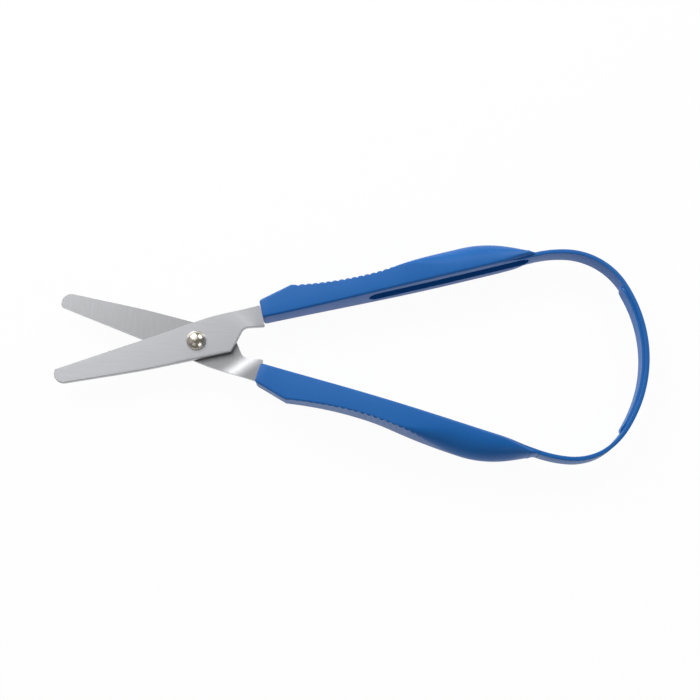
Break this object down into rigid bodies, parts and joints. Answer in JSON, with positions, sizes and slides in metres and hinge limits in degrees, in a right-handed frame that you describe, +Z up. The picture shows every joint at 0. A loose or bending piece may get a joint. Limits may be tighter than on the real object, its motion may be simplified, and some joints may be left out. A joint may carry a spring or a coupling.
{
  "type": "self-opening loop-handle scissors",
  "caption": "Self-opening scissors: short round-ended steel blades on a domed rivet, moulded into a plastic handle whose ridged grips run into one springy loop.",
  "frame": {"origin": "middle of the object's box at the plane that it lies on, under the gap between the grips", "axes": "+X from the blade tips to the loop, +Y towards the upper grip, +Z up from the surface it lies on, out of the front blade's face"},
  "size_m": [0.1962, 0.0724, 0.013],
  "materials": {
    "blade_steel": "brushed along the blade, satin",
    "rivet_metal": "polished, faintly warm plating",
    "handle_plastic": "moulded, semi-gloss"
  },
  "bodies": {
    "upper_half": {"upper_grip": "handle_plastic", "front_blade": "blade_steel", "pivot_rivet": "rivet_metal"},
    "lower_half": {"lower_grip": "handle_plastic", "rear_blade": "blade_steel"},
    "loop_band_1_body": {"loop_band_1": "handle_plastic"},
    "loop_band_2_body": {"loop_band_2": "handle_plastic"},
    "loop_band_3_body": {"loop_band_3": "handle_plastic"},
    "loop_band_4_body": {"loop_band_4": "handle_plastic"},
    "loop_band_5_body": {"loop_band_5": "handle_plastic"},
    "loop_band_6_body": {"loop_band_6": "handle_plastic"},
    "loop_band_7_body": {"loop_band_7": "handle_plastic"},
    "loop_band_8_body": {"loop_band_8": "handle_plastic"}
  },
  "joints": [
    {"name": "blade_pivot", "type": "hinge", "parent": "upper_half", "child": "lower_half", "pos_m": [-0.05236, 0, 0.0065], "axis": [0, 0, 1], "range_deg": [0, 28], "stiffness_Nm_per_rad": 0.5},
    {"name": "band_flex_1", "type": "hinge", "parent": "upper_half", "child": "loop_band_1_body", "pos_m": [0.06461, 0.03457, 0.0065], "axis": [0, 0, 1], "range_deg": [0, 45.5]},
    {"name": "band_flex_2", "type": "hinge", "parent": "loop_band_1_body", "child": "loop_band_2_body", "pos_m": [0.07358, 0.03496, 0.0065], "axis": [0, 0, 1], "range_deg": [0, 38.8]},
    {"name": "band_flex_3", "type": "hinge", "parent": "loop_band_2_body", "child": "loop_band_3_body", "pos_m": [0.08691, 0.02871, 0.0065], "axis": [0, 0, 1], "range_deg": [-31.6, 0]},
    {"name": "band_flex_4", "type": "hinge", "parent": "loop_band_3_body", "child": "loop_band_4_body", "pos_m": [0.09547, 0.01308, 0.0065], "axis": [0, 0, 1], "range_deg": [-38.7, 0]},
    {"name": "band_flex_5", "type": "hinge", "parent": "loop_band_4_body", "child": "loop_band_5_body", "pos_m": [0.09547, -0.01308, 0.0065], "axis": [0, 0, 1], "range_deg": [-38.7, 0]},
    {"name": "band_flex_6", "type": "hinge", "parent": "loop_band_5_body", "child": "loop_band_6_body", "pos_m": [0.08691, -0.02871, 0.0065], "axis": [0, 0, 1], "range_deg": [-31.6, 0]},
    {"name": "band_flex_7", "type": "hinge", "parent": "loop_band_6_body", "child": "loop_band_7_body", "pos_m": [0.07358, -0.03496, 0.0065], "axis": [0, 0, 1], "range_deg": [0, 38.8]},
    {"name": "band_flex_8", "type": "hinge", "parent": "loop_band_7_body", "child": "loop_band_8_body", "pos_m": [0.06461, -0.03457, 0.0065], "axis": [0, 0, 1], "range_deg": [0, 45.5]}
  ],
  "couplings": [
    {"joint": "band_flex_1", "follows": "blade_pivot", "ratio": 1.589},
    {"joint": "band_flex_2", "follows": "blade_pivot", "ratio": 1.3511},
    {"joint": "band_flex_3", "follows": "blade_pivot", "ratio": -1.0944},
    {"joint": "band_flex_4", "follows": "blade_pivot", "ratio": -1.3457},
    {"joint": "band_flex_5", "follows": "blade_pivot", "ratio": -1.3457},
    {"joint": "band_flex_6", "follows": "blade_pivot", "ratio": -1.0944},
    {"joint": "band_flex_7", "follows": "blade_pivot", "ratio": 1.3511},
    {"joint": "band_flex_8", "follows": "blade_pivot", "ratio": 1.589}
  ]
}
